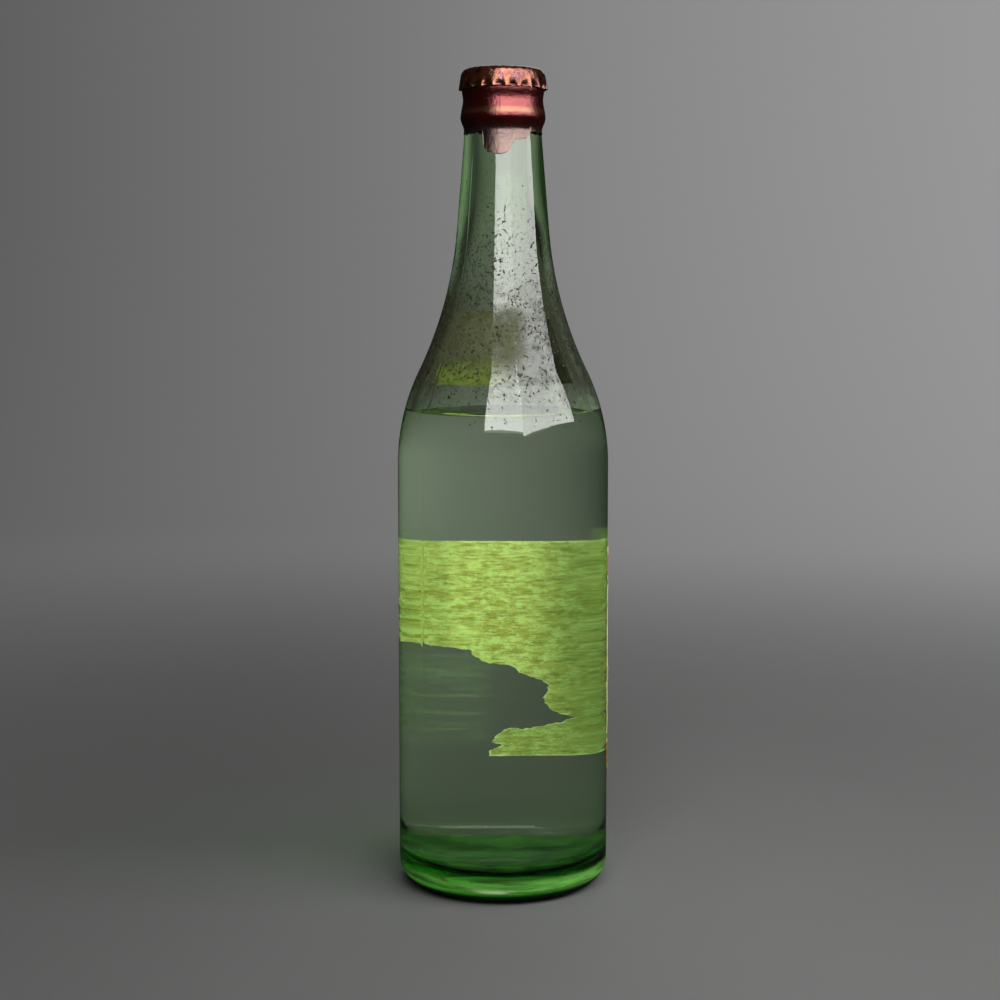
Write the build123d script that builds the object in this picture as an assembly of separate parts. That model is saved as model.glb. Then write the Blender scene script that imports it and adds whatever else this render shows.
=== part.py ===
from build123d import *
import os
from math import asin, cos, degrees, pi, radians, sin, tan

# Half-litre glass soda bottle: blown glass, crown cork, metal foil, two paper labels and the drink.
# Millimetres. +Z is up along the bottle's axis, and the origin is the centre of the plane it
# stands on. The labels are on the +Y side, so a person looking along +Y sees them through the glass.

# Glass: barrel, shoulder and neck. The outer line is a chain of tangent arcs.
BARREL_R = 34.3
BARREL_TOP = 138.5
SHOULDER_R = 69.0
FLARE_R = 127.0
SHOULDER_SLOPE = 26.0
NECK_TAPER = 4.7
WALL = 2.9

# Glass: heel and base
HEEL_HEIGHT = 8.5
BASE_RING_IN = 23.8
BASE_RING_OUT = 26.4
PUSH_UP = 3.0
FLOOR_TOP = 8.0
FLOOR_FLAT_R = 22.0
FLOOR_CORNER_TOP = 15.0

# Glass: finish for a 26 mm crown
MOUTH_TOP = 263.0
BORE_R = 8.0
BORE_BOTTOM = 236.0
BORE_SLOPE = 14.0
LIP_OUT_R = 2.4
LIP_IN_R = 1.1
LOCKING_RING_R = 13.1
LOCKING_RING_LOW = 258.2
WAIST_R = 12.75
WAIST_Z = 255.3
BEAD_R = 13.55
BEAD_Z = 249.6
BEAD_LOW = 245.2

# Crown cork
CROWN_TOP = 264.85
CROWN_SKIRT_BOTTOM = 258.85
CROWN_SHEET = 0.24
CROWN_VALLEY_R = 13.4
CROWN_RIDGE_R = 14.18
CROWN_CORNER_R = 2.2
CROWN_OVERRUN = 1.0
SKIRT_START_WAVE = 0.02
CORRUGATIONS = 21
LINER_GAP = 0.02

# Foil and paper
FOIL_GAP = 0.02
FOIL_SHEET = 0.15
CROWN_FOIL_BOTTOM = 258.62
NECK_FOIL_TOP = 258.2
NECK_FOIL_BOTTOM = 244.4
TONGUE_BOTTOM = 237.0
# Torn edges as (x, height above the foil's lower edge), from -X to +X, on the -Y and +Y halves
TORN_FRONT = [
    (-34, 0.4), (-9, 0.9), (-6.2, -0.4), (-5.2, -6.2), (-1.0, -7.4), (2.6, -5.2), (4.0, -2.2),
    (8.2, -2.4), (10, -0.4), (34, 0),
]
TORN_BACK = [(-34, 0.4), (-7, -1.0), (0, 0.6), (6, -0.6), (34, 0)]
PAPER_GAP = 0.03
PAPER_SHEET = 0.11
BODY_LABEL_BOTTOM = 37.5
BODY_LABEL_TOP = 111.0
BODY_LABEL_LEFT = -71.0
BODY_LABEL_RIGHT = 95.0
NECK_LABEL_BOTTOM = 163.5
NECK_LABEL_TOP = 188.0
NECK_LABEL_HALF = 64.0
# Torn-away corner of the body label as (x, z), seen along +Y
LABEL_TEAR = [
    (-70, 79), (-26, 77), (-14, 74.5), (-3, 70.7), (7.5, 62.8), (8.0, 54), (12.2, 50.4),
    (-1.1, 44.6), (-0.5, 40.7), (-2.4, 37), (-2.4, 20), (-70, 20),
]

# Drink
FILL_TOP = 156.0
DRINK_GAP = 0.02

CUTTER_DEPTH = 60.0
CUTTER_MARGIN = 4.0


def turned(edges, turn=360.0, start=0.0):
    """Solid of revolution about +Z from edges drawn with x = radius and y = height."""
    return revolve(Plane.XZ * make_face(edges), Axis.Z, turn).rotate(Axis.Z, start)


def polar(centre, radius, angle):
    """Point at an angle in degrees on a circle."""
    return (centre[0] + radius * cos(radians(angle)), centre[1] + radius * sin(radians(angle)))


SHOULDER_CENTRE = (BARREL_R - SHOULDER_R, BARREL_TOP)
FLARE_CENTRE = polar(SHOULDER_CENTRE, SHOULDER_R + FLARE_R, SHOULDER_SLOPE)


def flare_point(angle, outward=0.0):
    """Point on the concave flare, or on the parallel line a distance outside it."""
    return polar(FLARE_CENTRE, FLARE_R - outward, 180 + angle)


def cone_radius(height, outward=0.0):
    """Radius of the neck's straight taper at a height."""
    r, z = flare_point(NECK_TAPER, outward)
    return r - (height - z) * tan(radians(NECK_TAPER))


def shoulder_edges(outward=0.0, low_angle=0.0, high_angle=NECK_TAPER):
    """Convex shoulder from low_angle up to the slope, then the concave flare up to high_angle."""
    convex = CenterArc(SHOULDER_CENTRE, SHOULDER_R + outward, low_angle, SHOULDER_SLOPE - low_angle)
    concave = CenterArc(FLARE_CENTRE, FLARE_R - outward, 180 + SHOULDER_SLOPE, high_angle - SHOULDER_SLOPE)
    return [convex, concave]


def bead_edge(outward=0.0):
    """Flowing line from the neck over the finish's bead and waist to the locking ring."""
    points = [
        (cone_radius(BEAD_LOW) + outward, BEAD_LOW),
        (BEAD_R + outward, BEAD_Z),
        (WAIST_R + outward, WAIST_Z),
        (LOCKING_RING_R + outward, LOCKING_RING_LOW),
    ]
    return Spline(*points, tangents=[(0, 1), (0, 1)])


def outer_edges():
    """The bottle's whole outer line, from the base centre to the lip's flat."""
    base_arc = ThreePointArc(
        (0, PUSH_UP), (BASE_RING_IN / 2, PUSH_UP * 0.78), (BASE_RING_IN, 0)
    )
    heel = EllipticalCenterArc(
        (BASE_RING_OUT, HEEL_HEIGHT), BARREL_R - BASE_RING_OUT, HEEL_HEIGHT, 270, arc_size=90
    )
    lip_centre = (LOCKING_RING_R - LIP_OUT_R, MOUTH_TOP - LIP_OUT_R)
    return [
        base_arc,
        Line((BASE_RING_IN, 0), (BASE_RING_OUT, 0)),
        heel,
        Line((BARREL_R, HEEL_HEIGHT), (BARREL_R, BARREL_TOP)),
        *shoulder_edges(),
        Line(flare_point(NECK_TAPER), (cone_radius(BEAD_LOW), BEAD_LOW)),
        bead_edge(),
        Line((LOCKING_RING_R, LOCKING_RING_LOW), (LOCKING_RING_R, lip_centre[1])),
        CenterArc(lip_centre, LIP_OUT_R, 0, 90),
    ]


def cavity_edges(inset, top):
    """Closed line of the inside, a distance inset from the glass, with an open bore up to top."""
    wall = WALL + inset
    bore = BORE_R - inset
    corner = Spline(
        (FLOOR_FLAT_R, FLOOR_TOP + inset),
        (BARREL_R - wall, FLOOR_CORNER_TOP),
        tangents=[(1, 0), (0, 1)],
    )
    ease = Spline(
        flare_point(BORE_SLOPE, -wall),
        (bore, BORE_BOTTOM),
        tangents=[(-sin(radians(BORE_SLOPE)), cos(radians(BORE_SLOPE))), (0, 1)],
    )
    return [
        Line((0, FLOOR_TOP + inset), (FLOOR_FLAT_R, FLOOR_TOP + inset)),
        corner,
        Line((BARREL_R - wall, FLOOR_CORNER_TOP), (BARREL_R - wall, BARREL_TOP)),
        *shoulder_edges(-wall, high_angle=BORE_SLOPE),
        ease,
        Line((bore, BORE_BOTTOM), (bore, top)),
    ]


def bottle():
    """Glass, hollow from the mouth to the pushed-up floor."""
    lip_low = MOUTH_TOP - LIP_IN_R
    lip_in = CenterArc((BORE_R + LIP_IN_R, lip_low), LIP_IN_R, 90, 90)
    lip_flat = Line((LOCKING_RING_R - LIP_OUT_R, MOUTH_TOP), (BORE_R + LIP_IN_R, MOUTH_TOP))
    axis = Line((0, PUSH_UP), (0, FLOOR_TOP))
    return turned([*outer_edges(), lip_flat, lip_in, *cavity_edges(0.0, lip_low), axis])


def drink():
    """Liquid filling the inside up to the shoulder."""
    lines = cavity_edges(DRINK_GAP, MOUTH_TOP)
    bore = BORE_R - DRINK_GAP
    lid = Line((bore, MOUTH_TOP), (0, MOUTH_TOP))
    axis = Line((0, MOUTH_TOP), (0, FLOOR_TOP + DRINK_GAP))
    full = turned([*lines, lid, axis])
    upright = (Align.CENTER, Align.CENTER, Align.MIN)
    return full - Pos(0, 0, FILL_TOP) * Cylinder(BARREL_R, MOUTH_TOP, align=upright)


def fluted_loop(ridge_r, valley_r, height):
    """Closed wavy line with one ridge and one valley for each corrugation."""
    step = pi / CORRUGATIONS
    radii = [ridge_r, valley_r] * CORRUGATIONS
    points = [(r * cos(i * step), r * sin(i * step), height) for i, r in enumerate(radii)]
    return Wire([Spline(*points, periodic=True)])


def crown_block(grow, bottom):
    """Solid crown shape: domed top and fluted skirt, with every surface moved outward by grow."""
    corner = CROWN_CORNER_R + grow
    valley = CROWN_VALLEY_R + grow
    low = CROWN_TOP - CROWN_CORNER_R
    centre = (CROWN_VALLEY_R - CROWN_CORNER_R, low)
    top = turned([
        Line((0, low), (valley, low)),
        CenterArc(centre, corner, 0, 90),
        Line((centre[0], low + corner), (0, low + corner)),
        Line((0, low + corner), (0, low)),
    ])
    slope = (CROWN_RIDGE_R - CROWN_VALLEY_R) / (low - CROWN_SKIRT_BOTTOM)
    ridge_at_bottom = valley + slope * (low - bottom)
    skirt = loft([
        Face(fluted_loop(ridge_at_bottom, valley, bottom)),
        Face(fluted_loop(valley + SKIRT_START_WAVE, valley, low)),
    ])
    return top + skirt


def crown_shell():
    """Pressed tinplate crown."""
    inner = crown_block(-CROWN_SHEET, CROWN_SKIRT_BOTTOM - CROWN_OVERRUN)
    return crown_block(0.0, CROWN_SKIRT_BOTTOM) - inner


def crown_foil():
    """Foil pressed over the crown."""
    inner = crown_block(FOIL_GAP, CROWN_FOIL_BOTTOM - CROWN_OVERRUN)
    return crown_block(FOIL_GAP + FOIL_SHEET, CROWN_FOIL_BOTTOM) - inner


def cork_liner():
    """Cork disc squeezed between the crown and the lip."""
    corner = CROWN_CORNER_R - CROWN_SHEET - LINER_GAP
    centre = (CROWN_VALLEY_R - CROWN_CORNER_R, CROWN_TOP - CROWN_CORNER_R)
    bottom = MOUTH_TOP + LINER_GAP
    low_angle = degrees(asin((bottom - centre[1]) / corner))
    top = centre[1] + corner
    return turned([
        Line((0, bottom), polar(centre, corner, low_angle)),
        CenterArc(centre, corner, low_angle, 90 - low_angle),
        Line((centre[0], top), (0, top)),
        Line((0, top), (0, bottom)),
    ])


def neck_foil():
    """Foil sleeve round the finish, with a torn lower edge and a tongue hanging at the front."""
    inner = FOIL_GAP
    outer = FOIL_GAP + FOIL_SHEET
    low = TONGUE_BOTTOM - CUTTER_MARGIN / 2
    low_in = (cone_radius(low) + inner, low)
    low_out = (cone_radius(low) + outer, low)
    knee_in = (cone_radius(BEAD_LOW) + inner, BEAD_LOW)
    knee_out = (cone_radius(BEAD_LOW) + outer, BEAD_LOW)
    sleeve = turned([
        Line(low_in, low_out),
        Line(low_out, knee_out),
        bead_edge(outer),
        Line((LOCKING_RING_R + outer, NECK_FOIL_TOP), (LOCKING_RING_R + inner, NECK_FOIL_TOP)),
        bead_edge(inner),
        Line(knee_in, low_in),
    ])
    return sleeve - below_edge(TORN_FRONT, -1) - below_edge(TORN_BACK, 1)


def below_edge(edge, side):
    """Cutter under the foil's torn edge, for the half at -Y (side -1) or at +Y (side 1)."""
    points = [(x, NECK_FOIL_BOTTOM + rise) for x, rise in edge]
    floor = TONGUE_BOTTOM - CUTTER_MARGIN
    below = [(points[-1][0], floor), (points[0][0], floor)]
    return prism([*points, *below], side)


def prism(points, side):
    """Solid with an (x, z) outline, from the bottle's axis towards -Y (side -1) or +Y (side 1)."""
    outline = Polyline(*points, close=True)
    return extrude(Plane.XZ * make_face(outline.edges()), CUTTER_DEPTH, dir=(0, side, 0))


def body_label():
    """Paper round the barrel, its lower left corner torn away."""
    inner = BARREL_R + PAPER_GAP
    outer = inner + PAPER_SHEET
    low, high = BODY_LABEL_BOTTOM, BODY_LABEL_TOP
    sheet = turned(
        Polyline((inner, low), (outer, low), (outer, high), (inner, high), close=True).edges(),
        BODY_LABEL_RIGHT - BODY_LABEL_LEFT,
        90 - BODY_LABEL_RIGHT,
    )
    return sheet - prism(LABEL_TEAR, 1)


def neck_label():
    """Small paper label on the far side, where the shoulder runs up into the neck."""
    low_angle = degrees(asin((NECK_LABEL_BOTTOM - BARREL_TOP) / SHOULDER_R))
    high_angle = degrees(asin((FLARE_CENTRE[1] - NECK_LABEL_TOP) / FLARE_R))
    inner, outer = PAPER_GAP, PAPER_GAP + PAPER_SHEET
    foot = [polar(SHOULDER_CENTRE, SHOULDER_R + out, low_angle) for out in (inner, outer)]
    head = [flare_point(high_angle, out) for out in (inner, outer)]
    lines = [
        Line(*foot),
        *shoulder_edges(outer, low_angle, high_angle),
        Line(*head),
        *shoulder_edges(inner, low_angle, high_angle),
    ]
    return turned(lines, 2 * NECK_LABEL_HALF, 90 - NECK_LABEL_HALF)


PARTS = {
    "bottle": bottle,
    "crown_shell": crown_shell,
    "cork_liner": cork_liner,
    "crown_foil": crown_foil,
    "neck_foil": neck_foil,
    "body_label": body_label,
    "neck_label": neck_label,
    "drink": drink,
}

os.makedirs("parts", exist_ok=True)
for name, make in PARTS.items():
    export_step(make(), f"parts/{name}.step")
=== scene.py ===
from math import atan2, cos, degrees, exp, hypot, pi, radians, sin, tan
from random import Random

import bpy
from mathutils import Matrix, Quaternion, Vector, noise
from mathutils.geometry import delaunay_2d_cdt


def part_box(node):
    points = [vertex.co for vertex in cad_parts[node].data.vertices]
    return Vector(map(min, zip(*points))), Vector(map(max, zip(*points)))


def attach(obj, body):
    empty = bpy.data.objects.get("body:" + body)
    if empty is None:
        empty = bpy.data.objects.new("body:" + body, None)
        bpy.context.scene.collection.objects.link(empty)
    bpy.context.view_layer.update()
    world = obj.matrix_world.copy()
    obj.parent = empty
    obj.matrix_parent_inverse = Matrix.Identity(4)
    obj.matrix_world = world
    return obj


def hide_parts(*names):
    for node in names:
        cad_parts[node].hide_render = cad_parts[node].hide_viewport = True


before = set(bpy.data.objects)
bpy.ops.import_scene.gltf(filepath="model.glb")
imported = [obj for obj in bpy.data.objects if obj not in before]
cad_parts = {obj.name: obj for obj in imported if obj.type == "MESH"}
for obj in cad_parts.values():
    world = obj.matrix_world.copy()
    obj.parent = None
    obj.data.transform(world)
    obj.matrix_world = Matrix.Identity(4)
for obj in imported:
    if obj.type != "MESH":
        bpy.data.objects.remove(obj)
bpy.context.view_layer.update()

# Shapes are in millimetres until make_mesh turns them into metres, and materials measure in metres.
# +Z is up, the labels are on the +Y side and the camera stands on the -Y side. Angles round the
# bottle run from +X to +Y.
MM = 0.001

# -------- sizes from the CAD parts

bottle_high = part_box("bottle")[1]
crown_low, crown_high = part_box("crown_shell")
drink_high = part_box("drink")[1]
body_label_low, body_label_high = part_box("body_label")
neck_label_low, neck_label_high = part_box("neck_label")

BARREL_R = bottle_high.x / MM
MOUTH_TOP = bottle_high.z / MM
FILL_TOP = drink_high.z / MM
CROWN_TOP = crown_high.z / MM
CROWN_BOTTOM = crown_low.z / MM
WALL = BARREL_R - drink_high.x / MM

# -------- sizes of the glass

BARREL_TOP = 138.5
SHOULDER_R = 69.0
FLARE_R = 127.0
SHOULDER_SLOPE = radians(26.0)
NECK_TAPER = radians(4.7)
HEEL_HEIGHT = 8.5
BASE_RING_IN = 23.8
BASE_RING_OUT = 26.4
PUSH_UP = 3.0
FLOOR_TOP = 8.0
FLOOR_RIM = (22.0, 8.2)
FLOOR_CORNER_TOP = 15.0
BORE_R = 8.0
BORE_BOTTOM = 236.0
BORE_SLOPE = radians(14.0)
LIP_OUT_R = 2.4
LIP_IN_R = 1.1
LOCKING_RING_R = 13.1
LOCKING_RING_LOW = 258.2
WAIST = (12.75, 255.3)
BEAD = (13.55, 249.6)
BEAD_LOW = 245.2
SEAM_ANGLES = (radians(222.0), radians(42.0))
SEAM_HEIGHT = 0.09
OUTER_WAVE = 0.012
INNER_WAVE = 0.10
ROUND_STEPS = 168

# -------- sizes of the soft pieces

MENISCUS_HEIGHT = 1.7
MENISCUS_REACH = 2.0
DRINK_OVERLAP = 0.1
PAPER_SHEET = 0.11
PAPER_SINK = 0.03
FOIL_SHEET = 0.06
CROWN_FOIL_COVER = 0.12
CORRUGATIONS = 21
HEM_HEIGHT = 244.5
TONGUE = ((-31, 0.0), (-27.5, -5.0), (-22, -6.6), (-6, -7.2), (8, -6.9), (12, -5.4), (16, -2.6), (38, -2.2),
          (44, 0.0))
LABEL_SIDES = (radians(-71.0), radians(95.0))
NECK_LABEL_HALF = radians(64.0)
LABEL_SPACING = 1.3
FILM_LIFT = 0.03
GRIME_SPAN = (146, 243)
RESIDUE_SPAN = (38, 76)
RESIDUE_SIDES = (88, 164)
SPECK_DRAWS = 4200
SPECK_HEIGHTS = (150, 243, 170)
SPECK_SINK = 0.03
SPECK_RISE = 0.09


# -------- outlines, as (radius, height)

def arc(centre, radius, start, end, steps, high=None):
    """Points on a circle, or on an ellipse when high gives its height."""
    high = radius if high is None else high
    turns = [start + (end - start) * i / steps for i in range(steps + 1)]
    return [(centre[0] + radius * cos(a), centre[1] + high * sin(a)) for a in turns]


def hermite(p, q, p_way, q_way, steps):
    """Smooth curve from p to q that leaves and arrives along the given ways."""
    size = hypot(q[0] - p[0], q[1] - p[1])
    out = []
    for i in range(steps + 1):
        t = i / steps
        h = (2 * t**3 - 3 * t**2 + 1, t**3 - 2 * t**2 + t, 3 * t**2 - 2 * t**3, t**3 - t**2)
        out.append(tuple(h[0] * p[k] + h[1] * size * p_way[k] + h[2] * q[k] + h[3] * size * q_way[k]
                         for k in (0, 1)))
    return out


def line(p, q, steps):
    """Evenly spaced points from p to q."""
    return [tuple(a + (b - a) * i / steps for a, b in zip(p, q)) for i in range(steps + 1)]


def joined(*runs):
    """One outline from several, with each shared end point kept once."""
    out = []
    for run in runs:
        start = 1 if out and hypot(run[0][0] - out[-1][0], run[0][1] - out[-1][1]) < 1e-4 else 0
        out.extend(run[start:])
    return out


SHOULDER_CENTRE = (BARREL_R - SHOULDER_R, BARREL_TOP)
FLARE_CENTRE = (SHOULDER_CENTRE[0] + (SHOULDER_R + FLARE_R) * cos(SHOULDER_SLOPE),
                SHOULDER_CENTRE[1] + (SHOULDER_R + FLARE_R) * sin(SHOULDER_SLOPE))


def cone_radius(height, inward=0.0):
    """Radius of the neck's straight taper, or of the line a distance inside it."""
    start_r = FLARE_CENTRE[0] - (FLARE_R + inward) * cos(NECK_TAPER)
    start_z = FLARE_CENTRE[1] - (FLARE_R + inward) * sin(NECK_TAPER)
    return start_r - (height - start_z) * tan(NECK_TAPER)


def shoulder_outline(inward=0.0, high_angle=NECK_TAPER):
    """From the barrel's top over the convex shoulder, then up the concave flare to a slope."""
    return joined(
        arc(SHOULDER_CENTRE, SHOULDER_R - inward, 0, SHOULDER_SLOPE, 26),
        arc(FLARE_CENTRE, FLARE_R + inward, pi + SHOULDER_SLOPE, pi + high_angle, 36),
    )


def finish_outline():
    """From the neck over the bead and the waist to the locking ring's foot."""
    foot = (cone_radius(BEAD_LOW), BEAD_LOW)
    up = (0.0, 1.0)
    return joined(
        hermite(foot, BEAD, up, up, 12),
        hermite(BEAD, WAIST, up, up, 12),
        hermite(WAIST, (LOCKING_RING_R, LOCKING_RING_LOW), up, up, 8),
    )


def outside_outline():
    """The glass's outer line from the base centre to the lip's flat."""
    shoulder = shoulder_outline()
    lip = (LOCKING_RING_R - LIP_OUT_R, MOUTH_TOP - LIP_OUT_R)
    rings = [BASE_RING_IN * i / 14 for i in range(15)]
    return joined(
        [(r, PUSH_UP * (1 - (r / BASE_RING_IN) ** 2)) for r in rings],
        line((BASE_RING_IN, 0), (BASE_RING_OUT, 0), 2),
        arc((BASE_RING_OUT, HEEL_HEIGHT), BARREL_R - BASE_RING_OUT, -pi / 2, 0, 16, HEEL_HEIGHT),
        line((BARREL_R, HEEL_HEIGHT), (BARREL_R, BARREL_TOP), 52),
        shoulder,
        line(shoulder[-1], (cone_radius(BEAD_LOW), BEAD_LOW), 14),
        finish_outline(),
        line((LOCKING_RING_R, LOCKING_RING_LOW), (LOCKING_RING_R, lip[1]), 3),
        arc(lip, LIP_OUT_R, 0, pi / 2, 8),
    )


def inside_outline():
    """The cavity's line from the lip, down the bore and the wall, to the floor's centre."""
    lip = (BORE_R + LIP_IN_R, MOUTH_TOP - LIP_IN_R)
    shoulder = shoulder_outline(WALL, BORE_SLOPE)
    wall_r = BARREL_R - WALL
    return joined(
        arc(lip, LIP_IN_R, pi / 2, pi, 5),
        line((BORE_R, lip[1]), (BORE_R, BORE_BOTTOM), 10),
        hermite((BORE_R, BORE_BOTTOM), shoulder[-1], (0, -1), (sin(BORE_SLOPE), -cos(BORE_SLOPE)), 18),
        shoulder[::-1],
        line((wall_r, BARREL_TOP), (wall_r, FLOOR_CORNER_TOP), 48),
        hermite((wall_r, FLOOR_CORNER_TOP), FLOOR_RIM, (0, -1), (-1, 0), 16),
        line(FLOOR_RIM, (0, FLOOR_TOP), 12),
    )


def radius_at(outline, height):
    """Radius of an outline at a height, where it runs steadily up or down."""
    for (r0, z0), (r1, z1) in zip(outline, outline[1:]):
        if min(z0, z1) <= height <= max(z0, z1) and z0 != z1:
            return r0 + (r1 - r0) * (height - z0) / (z1 - z0)
    return outline[-1][0]


OUTSIDE = outside_outline()
INSIDE = inside_outline()
SIDE = [p for p in OUTSIDE if HEEL_HEIGHT - 1e-6 <= p[1] <= LOCKING_RING_LOW + 1e-6]


# -------- meshes

def new_object(name, data):
    """New object in the scene."""
    made = bpy.data.objects.new(name, data)
    bpy.context.scene.collection.objects.link(made)
    return made


def make_mesh(name, points, faces, materials, slots=None, sharp=None):
    """New smooth object from points in millimetres."""
    mesh = bpy.data.meshes.new(name)
    mesh.from_pydata([(x * MM, y * MM, z * MM) for x, y, z in points], [], faces)
    for material in materials:
        mesh.materials.append(material)
    for i, face in enumerate(mesh.polygons):
        face.use_smooth = True
        face.material_index = slots[i] if slots else 0
    mesh.update()
    if sharp:
        mesh.set_sharp_from_angle(angle=radians(sharp))
    return new_object(name, mesh)


def wobble(x, y, z, size, seed):
    """Smooth noise between -1 and 1 with features of about size millimetres."""
    return noise.noise(Vector((x / size + seed, y / size - seed, z / size + 2 * seed)))


def rough_noise(x, y, z, size, seed, octaves=4):
    """Fractal noise between about -1 and 1."""
    place = Vector((x / size + seed, y / size - seed, z / size + 2 * seed))
    return noise.fractal(place, 0.7, 2.0, octaves)


def round_steps(count, extra=()):
    """Sorted angles once round the bottle, closer together beside each extra angle."""
    angles = {round(2 * pi * i / count, 9) for i in range(count)}
    for middle in extra:
        near = {a for a in angles if abs((a - middle + pi) % (2 * pi) - pi) < radians(1.9)}
        angles -= near
        angles |= {round(middle + radians(step), 9) for step in (-1.6, -0.8, -0.4, 0, 0.4, 0.8, 1.6)}
    return sorted(angles)


def lathe(name, outline, angles, shape, material, sharp=None):
    """Turned piece. shape(i, angle) moves outline point i and returns (radius, height).
    Points on the axis become a single vertex."""
    points, rows, faces = [], [], []
    for i, (r, _) in enumerate(outline):
        if r < 1e-6:
            rows.append([len(points)])
            points.append((0.0, 0.0, shape(i, 0.0)[1]))
            continue
        rows.append(list(range(len(points), len(points) + len(angles))))
        for a in angles:
            radius, height = shape(i, a)
            points.append((radius * cos(a), radius * sin(a), height))
    count = len(angles)
    for low, high in zip(rows, rows[1:]):
        for k in range(count):
            n = (k + 1) % count
            if len(low) == 1:
                faces.append((high[n], high[k], low[0]))
            elif len(high) == 1:
                faces.append((high[0], low[k], low[n]))
            else:
                faces.append((low[n], high[n], high[k], low[k]))
    return make_mesh(name, points, faces, [material], sharp=sharp)


def seam_bump(angle):
    """Height of the mould seams at an angle, in millimetres."""
    gap = min(abs((angle - s + pi) % (2 * pi) - pi) for s in SEAM_ANGLES)
    return SEAM_HEIGHT * max(0.0, 1 - gap / radians(0.8))


def outer_offset(angle, r, z):
    """How far the hand-blown outer surface strays from the true line."""
    fade = min(1.0, max(0.0, (z - 2) / 12)) * min(1.0, max(0.0, (243 - z) / 12))
    wave = OUTER_WAVE * wobble(r * cos(angle), r * sin(angle), z * 0.6, 14, 3.1)
    return fade * (wave + seam_bump(angle))


def inner_offset(angle, r, z):
    """How far the inner surface strays, which bends what is seen through the glass."""
    fade = min(1.0, max(0.0, r / 8)) * min(1.0, max(0.0, (236 - z) / 20))
    x, y = r * cos(angle), r * sin(angle)
    return fade * INNER_WAVE * (wobble(x, y, z * 0.5, 17, 7.7) + 0.35 * wobble(x, y, z, 7, 1.3))


def glass_bottle():
    """The blown glass: outer line up to the lip, then the inner line down to the floor."""
    outline = joined(OUTSIDE, INSIDE)
    inside_from = len(OUTSIDE)

    def shape(i, angle):
        r, z = outline[i]
        if i < inside_from:
            return r + outer_offset(angle, r, z), z
        if z < FLOOR_CORNER_TOP and r < BARREL_R - WALL - 1:
            return r, z + inner_offset(angle, r, z)
        return r + inner_offset(angle, r, z), z

    angles = round_steps(ROUND_STEPS, SEAM_ANGLES)
    piece = lathe("glass_bottle", outline, angles, shape, glass_material(), 32)
    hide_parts("bottle")
    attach(piece, "bottle")


def drink_liquid():
    """The drink, let a little way into the glass so that no air shows between them."""
    level = FILL_TOP - MENISCUS_HEIGHT
    wet = [p for p in INSIDE[::-1] if p[1] < level - 1]
    rim_r = radius_at(INSIDE, FILL_TOP)
    rim = [(radius_at(INSIDE, z), z) for z in (level, FILL_TOP)]
    gaps = (0.25, 0.6, 1.1, 1.8, 2.8, 4.2, 6.5, 10, 15, 21, 26, rim_r)
    surface = [(rim_r - gap, level + MENISCUS_HEIGHT * exp(-gap / MENISCUS_REACH)) for gap in gaps]
    outline = joined(wet, rim, surface)
    wet_count = len(wet) + len(rim)

    def shape(i, angle):
        r, z = outline[i]
        if i >= wet_count:
            return r, z
        if z < FLOOR_CORNER_TOP and r < BARREL_R - WALL - 1:
            return r, z + inner_offset(angle, r, z) - DRINK_OVERLAP
        return r + inner_offset(angle, r, z) + DRINK_OVERLAP, z

    piece = lathe("drink_liquid", outline, round_steps(ROUND_STEPS), shape, drink_material(), 50)
    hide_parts("drink")
    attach(piece, "bottle")


def sheet_mesh(name, outline, place, spacing, thickness, materials):
    """Paper or foil cut to an outline of (along, up) points. place(along, up) gives a point on the
    sheet's inner face and the unit way out. The inner face takes material 1 and the rest material 0."""
    flat = [Vector(p) for p in outline]
    edges = [(i, (i + 1) % len(flat)) for i in range(len(flat))]
    low = [min(p[k] for p in outline) for k in (0, 1)]
    high = [max(p[k] for p in outline) for k in (0, 1)]
    rows = int((high[1] - low[1]) / spacing)
    columns = int((high[0] - low[0]) / spacing)
    for j in range(1, rows):
        for i in range(1, columns):
            shift = spacing / 2 if j % 2 else 0
            flat.append(Vector((low[0] + i * spacing + shift, low[1] + j * spacing)))
    verts, _, faces, *_ = delaunay_2d_cdt(flat, edges, [], 1, spacing * 0.02)
    used = sorted({i for f in faces for i in f})
    order = {old: new for new, old in enumerate(used)}
    faces = [tuple(order[i] for i in f) for f in faces]
    inner = [place(verts[i].x, verts[i].y) for i in used]
    count = len(inner)
    points = [p for p, _ in inner] + [p + out * thickness for p, out in inner]
    a, b, c = (Vector(points[i]) for i in faces[0])
    if (b - a).cross(c - a).dot(inner[faces[0][0]][1]) <= 0:
        faces = [f[::-1] for f in faces]
    sides = dict.fromkeys((i, k) for f in faces for i, k in zip(f, f[1:] + f[:1]))
    rim = [(i, k) for i, k in sides if (k, i) not in sides]
    back = [f[::-1] for f in faces]
    front = [tuple(i + count for i in f) for f in faces]
    wall = [(i, k, k + count, i + count) for i, k in rim]
    slots = [1] * len(back) + [0] * (len(front) + len(wall))
    return make_mesh(name, points, back + front + wall, materials, slots, 50)


def torn_line(points, step, depth, seed):
    """The same corner-to-corner line, broken into short steps that stray like torn paper."""
    out = []
    for p, q in zip(points, points[1:]):
        size = hypot(q[0] - p[0], q[1] - p[1])
        count = max(1, int(size / step))
        way = ((q[1] - p[1]) / size, (p[0] - q[0]) / size)
        for i in range(count):
            x, z = (p[k] + (q[k] - p[k]) * i / count for k in (0, 1))
            stray = depth * rough_noise(x, z, 0, 4.5, seed) + 0.4 * depth * rough_noise(x, z, 0, 1.1, seed)
            out.append((x + way[0] * stray, z + way[1] * stray))
    return out


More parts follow.
